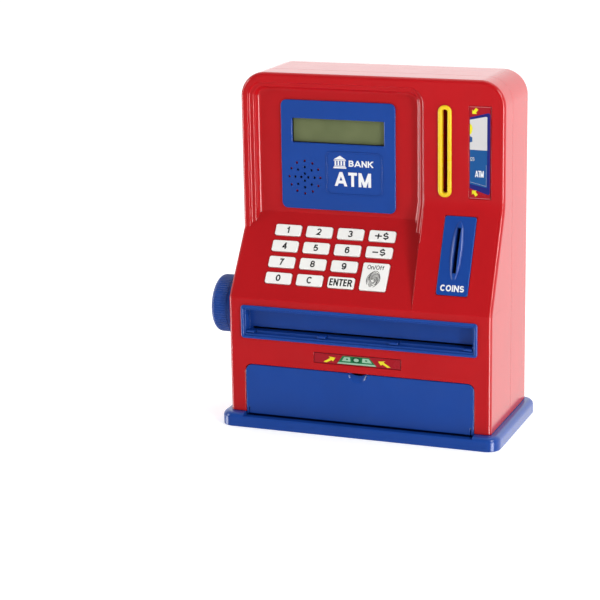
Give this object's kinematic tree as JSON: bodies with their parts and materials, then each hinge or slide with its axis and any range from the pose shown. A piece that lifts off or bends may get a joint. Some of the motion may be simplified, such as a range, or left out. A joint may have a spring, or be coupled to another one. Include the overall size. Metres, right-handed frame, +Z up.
{
  "type": "toy cash machine savings bank",
  "caption": "Toy cash machine money box with a keypad, display, bill slot turned by a side knob, coin slot, card slot and a hinged front door.",
  "frame": {"origin": "middle of the base's underside, on the surface it stands on", "axes": "+Z up, -Y out of the front face, -X towards the knob's side, so +X is the right side as seen from the front"},
  "size_m": [0.2237, 0.109, 0.259],
  "materials": {
    "red_plastic": "glossy moulded",
    "blue_plastic": "satin moulded",
    "yellow_plastic": "glossy moulded",
    "key_rubber": "matte silicone",
    "display_glass": "clear over an olive display",
    "black_plastic": "satin moulded",
    "circuit_board": "solder mask",
    "dark_rubber": "matte",
    "plated_steel": "nickel plated",
    "printed_label": "printed film"
  },
  "bodies": {
    "case": {"front_housing": "red_plastic", "rear_housing": "red_plastic", "card_guide": "red_plastic", "base": "blue_plastic", "bill_slot_bezel": "blue_plastic", "screen_panel": "blue_plastic", "coin_slot_plate": "blue_plastic", "card_slot_bezel": "yellow_plastic", "display": "display_glass", "display_holder": "black_plastic", "speaker": "black_plastic", "feed_frame": "black_plastic", "coin_chute": "black_plastic", "electronics_shelf": "black_plastic", "main_board": "circuit_board", "keypad_board": "circuit_board", "keypad_membrane": "dark_rubber", "battery_contact_negative": "plated_steel", "battery_contact_positive": "plated_steel", "battery_contact_left_pair": "plated_steel", "battery_contact_right_pair": "plated_steel", "housing_screw_lower_left": "plated_steel", "housing_screw_lower_right": "plated_steel", "housing_screw_upper_left": "plated_steel", "housing_screw_upper_right": "plated_steel", "base_screw_front_left": "plated_steel", "base_screw_front_right": "plated_steel", "base_screw_rear_left": "plated_steel", "base_screw_rear_right": "plated_steel", "card_label": "printed_label", "bill_label": "printed_label"},
    "door": {"door": "blue_plastic"},
    "feed_drive": {"knob": "blue_plastic", "feed_shaft": "plated_steel", "feed_roller_left": "dark_rubber", "feed_roller_right": "dark_rubber", "shaft_clip": "plated_steel"},
    "pinch_unit": {"pinch_shaft": "plated_steel", "pinch_roller_left": "dark_rubber", "pinch_roller_right": "dark_rubber"},
    "card_lever": {"card_switch_lever": "yellow_plastic"},
    "coin_lever": {"coin_lever": "yellow_plastic"},
    "battery_lid": {"battery_cover": "red_plastic", "battery_cover_screw": "plated_steel"},
    "key_0": {"key_0": "key_rubber"},
    "key_clear": {"key_clear": "key_rubber"},
    "key_enter": {"key_enter": "key_rubber"},
    "key_power": {"key_power": "key_rubber"},
    "key_7": {"key_7": "key_rubber"},
    "key_8": {"key_8": "key_rubber"},
    "key_9": {"key_9": "key_rubber"},
    "key_4": {"key_4": "key_rubber"},
    "key_5": {"key_5": "key_rubber"},
    "key_6": {"key_6": "key_rubber"},
    "key_subtract": {"key_subtract": "key_rubber"},
    "key_1": {"key_1": "key_rubber"},
    "key_2": {"key_2": "key_rubber"},
    "key_3": {"key_3": "key_rubber"},
    "key_add": {"key_add": "key_rubber"}
  },
  "joints": [
    {"name": "door_hinge", "type": "hinge", "parent": "case", "child": "door", "pos_m": [0, -0.04255, 0.0144], "axis": [1, 0, 0], "range_deg": [0, 90]},
    {"name": "knob_turn", "type": "hinge", "parent": "case", "child": "feed_drive", "pos_m": [0, -0.02175, 0.0855], "axis": [1, 0, 0], "continuous": true},
    {"name": "pinch_turn", "type": "hinge", "parent": "case", "child": "pinch_unit", "pos_m": [0, -0.02175, 0.0692], "axis": [1, 0, 0], "continuous": true},
    {"name": "key_0_press", "type": "slide", "parent": "case", "child": "key_0", "axis": [0, 0.8192, -0.5736], "range_m": [0, 0.0015], "stiffness_N_per_m": 400},
    {"name": "key_clear_press", "type": "slide", "parent": "case", "child": "key_clear", "axis": [0, 0.8192, -0.5736], "range_m": [0, 0.0015], "stiffness_N_per_m": 400},
    {"name": "key_enter_press", "type": "slide", "parent": "case", "child": "key_enter", "axis": [0, 0.8192, -0.5736], "range_m": [0, 0.0015], "stiffness_N_per_m": 400},
    {"name": "key_power_press", "type": "slide", "parent": "case", "child": "key_power", "axis": [0, 0.8192, -0.5736], "range_m": [0, 0.0015], "stiffness_N_per_m": 400},
    {"name": "key_7_press", "type": "slide", "parent": "case", "child": "key_7", "axis": [0, 0.8192, -0.5736], "range_m": [0, 0.0015], "stiffness_N_per_m": 400},
    {"name": "key_8_press", "type": "slide", "parent": "case", "child": "key_8", "axis": [0, 0.8192, -0.5736], "range_m": [0, 0.0015], "stiffness_N_per_m": 400},
    {"name": "key_9_press", "type": "slide", "parent": "case", "child": "key_9", "axis": [0, 0.8192, -0.5736], "range_m": [0, 0.0015], "stiffness_N_per_m": 400},
    {"name": "key_4_press", "type": "slide", "parent": "case", "child": "key_4", "axis": [0, 0.8192, -0.5736], "range_m": [0, 0.0015], "stiffness_N_per_m": 400},
    {"name": "key_5_press", "type": "slide", "parent": "case", "child": "key_5", "axis": [0, 0.8192, -0.5736], "range_m": [0, 0.0015], "stiffness_N_per_m": 400},
    {"name": "key_6_press", "type": "slide", "parent": "case", "child": "key_6", "axis": [0, 0.8192, -0.5736], "range_m": [0, 0.0015], "stiffness_N_per_m": 400},
    {"name": "key_subtract_press", "type": "slide", "parent": "case", "child": "key_subtract", "axis": [0, 0.8192, -0.5736], "range_m": [0, 0.0015], "stiffness_N_per_m": 400},
    {"name": "key_1_press", "type": "slide", "parent": "case", "child": "key_1", "axis": [0, 0.8192, -0.5736], "range_m": [0, 0.0015], "stiffness_N_per_m": 400},
    {"name": "key_2_press", "type": "slide", "parent": "case", "child": "key_2", "axis": [0, 0.8192, -0.5736], "range_m": [0, 0.0015], "stiffness_N_per_m": 400},
    {"name": "key_3_press", "type": "slide", "parent": "case", "child": "key_3", "axis": [0, 0.8192, -0.5736], "range_m": [0, 0.0015], "stiffness_N_per_m": 400},
    {"name": "key_add_press", "type": "slide", "parent": "case", "child": "key_add", "axis": [0, 0.8192, -0.5736], "range_m": [0, 0.0015], "stiffness_N_per_m": 400},
    {"name": "card_lever_swing", "type": "hinge", "parent": "case", "child": "card_lever", "pos_m": [0.0628, 0.02125, 0.2285], "axis": [0, 0, 1], "range_deg": [-18, 0], "stiffness_Nm_per_rad": 0.002, "springref_deg": 5.73},
    {"name": "coin_lever_swing", "type": "hinge", "parent": "case", "child": "coin_lever", "pos_m": [0.0754, 0.02025, 0.1105], "axis": [1, 0, 0], "range_deg": [0, 30], "stiffness_Nm_per_rad": 0.002, "springref_deg": -5.73},
    {"name": "battery_lid_lift", "type": "slide", "parent": "case", "child": "battery_lid", "axis": [0, 1, 0], "range_m": [0, 0.03]}
  ],
  "couplings": [
    {"joint": "pinch_turn", "follows": "knob_turn", "ratio": -2.4889}
  ]
}
